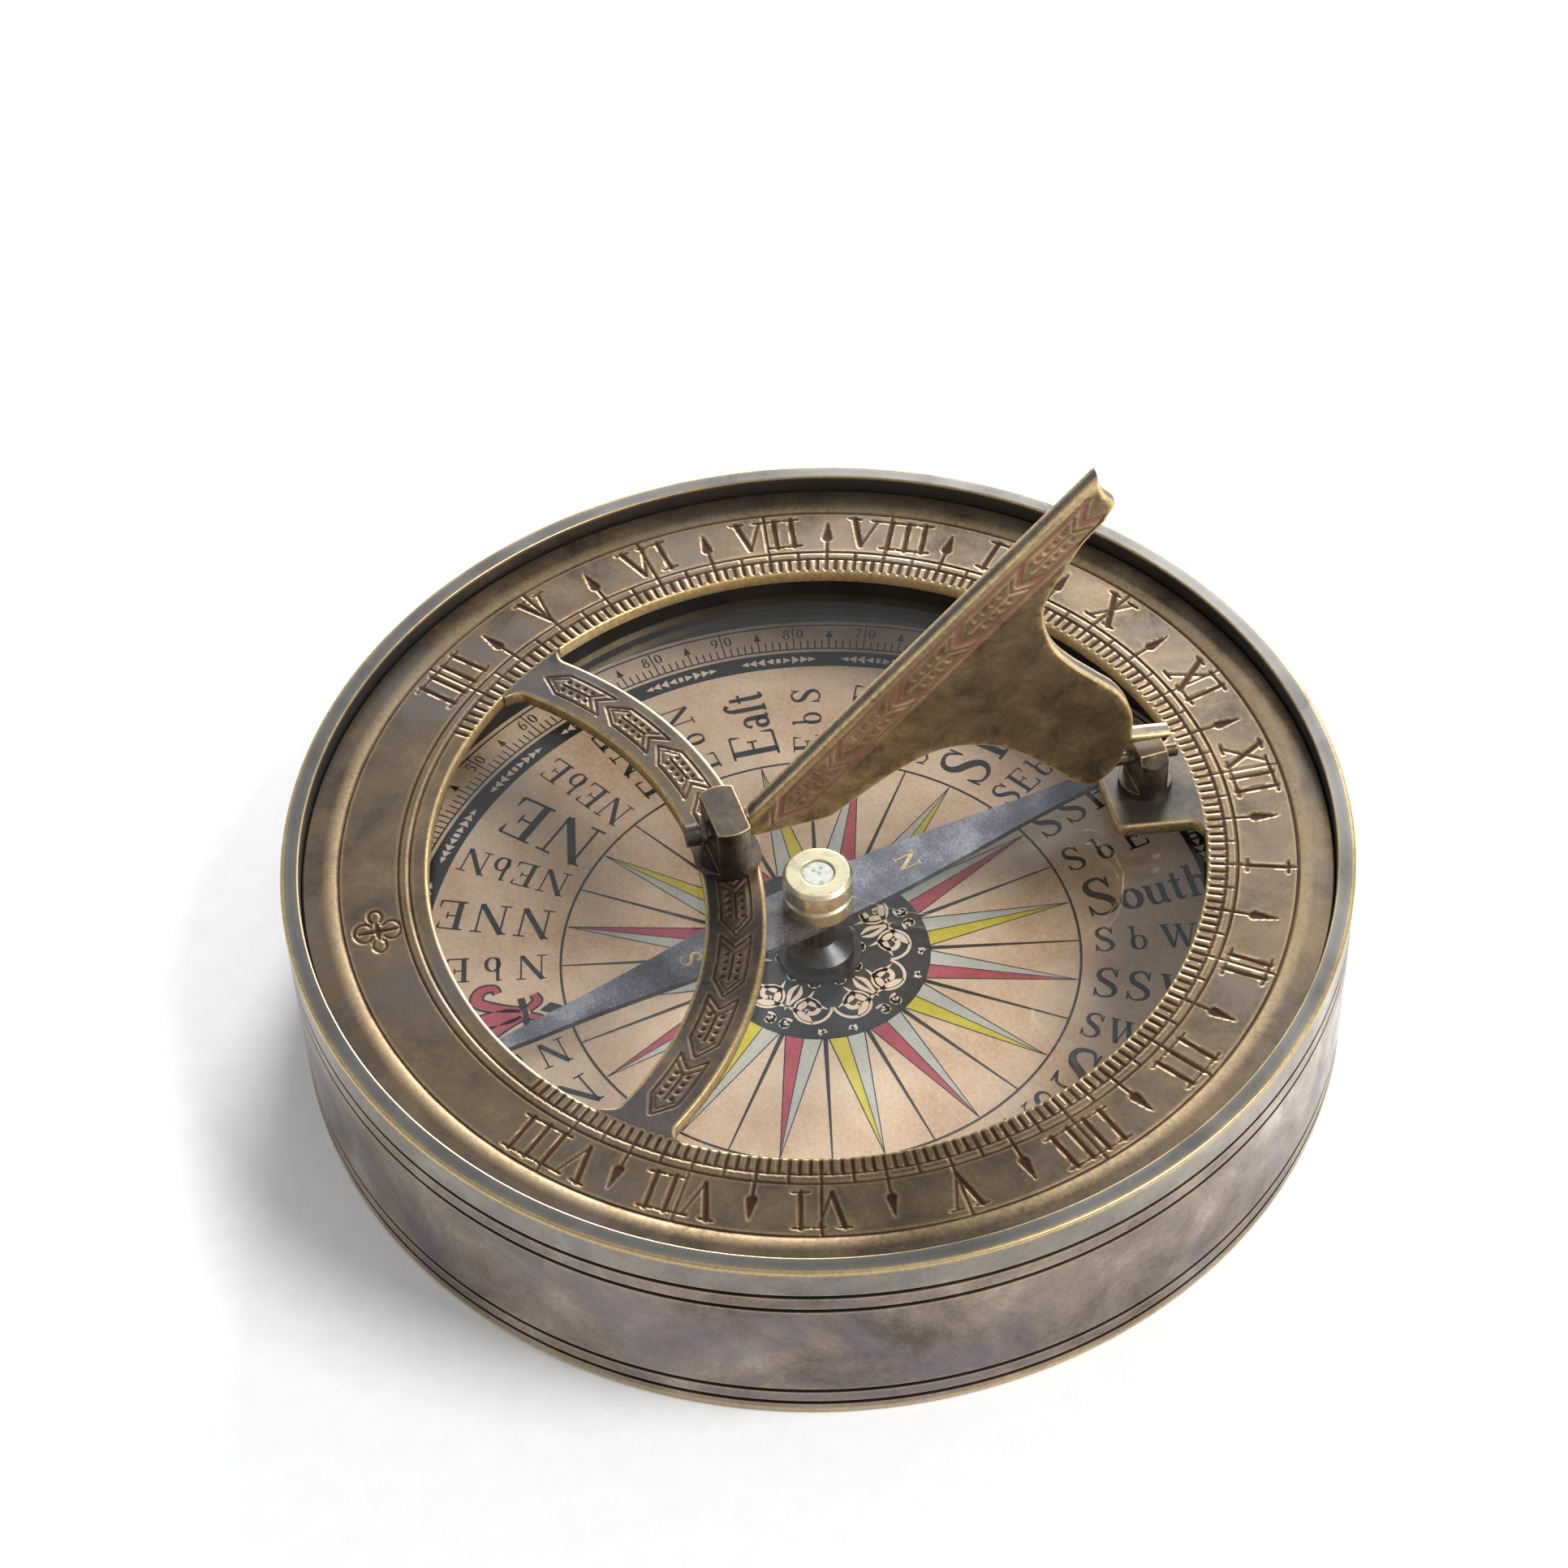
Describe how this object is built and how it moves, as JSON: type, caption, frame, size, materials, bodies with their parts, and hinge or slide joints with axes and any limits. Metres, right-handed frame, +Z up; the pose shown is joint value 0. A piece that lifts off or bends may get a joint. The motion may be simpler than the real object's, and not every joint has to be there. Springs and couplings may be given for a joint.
{
  "type": "sundial compass",
  "caption": "Drum-shaped folding brass sundial with a hinged triangular gnomon over an hour plate, and a glazed magnetic compass below it.",
  "frame": {"origin": "centre of the case's flat underside", "axes": "+Z up, along the case's axis and the needle's pivot; +Y along the noon line, towards the XII on the hour plate; +X towards the afternoon hours"},
  "size_m": [0.11, 0.11, 0.0668],
  "materials": {
    "aged_brass_case": "turned, aged and lacquered, worn bright on the edges",
    "aged_brass_plate": "engraved, aged, brown wax in the cuts",
    "aged_brass_gnomon": "cast, filed and aged, worn bright on the edges",
    "dark_brass_posts": "milled and darkened",
    "bright_brass": "turned and polished",
    "blued_steel": "heat blued",
    "pivot_steel": "hardened and polished",
    "printed_card": "aged printed paper, matt",
    "grey_board": "plain cardboard",
    "blackened_metal": "matt black paint",
    "clear_glass": "clear, polished",
    "clear_jewel": "clear, polished"
  },
  "bodies": {
    "case": {"case_wall": "aged_brass_case", "case_floor": "aged_brass_case", "pedestal_screw": "bright_brass", "backing_board": "grey_board", "compass_card": "printed_card", "card_washer": "bright_brass", "pivot_pedestal": "blackened_metal", "pivot_pin": "pivot_steel", "card_liner": "blackened_metal", "glass": "clear_glass", "spring_ring": "aged_brass_case", "dial_ring": "aged_brass_plate", "south_post": "dark_brass_posts", "north_post": "dark_brass_posts"},
    "compass_needle": {"needle": "blued_steel", "needle_cap": "bright_brass", "cap_jewel": "clear_jewel"},
    "gnomon": {"gnomon": "aged_brass_gnomon", "south_hinge_pin": "dark_brass_posts", "north_hinge_pin": "dark_brass_posts"}
  },
  "joints": [
    {"name": "needle_spin", "type": "hinge", "parent": "case", "child": "compass_needle", "pos_m": [0, 0, 0.0138], "axis": [0, 0, 1], "continuous": true},
    {"name": "gnomon_fold", "type": "hinge", "parent": "case", "child": "gnomon", "pos_m": [-0.0007, 0, 0.0255], "axis": [0, 1, 0], "range_deg": [-90, 90]}
  ]
}
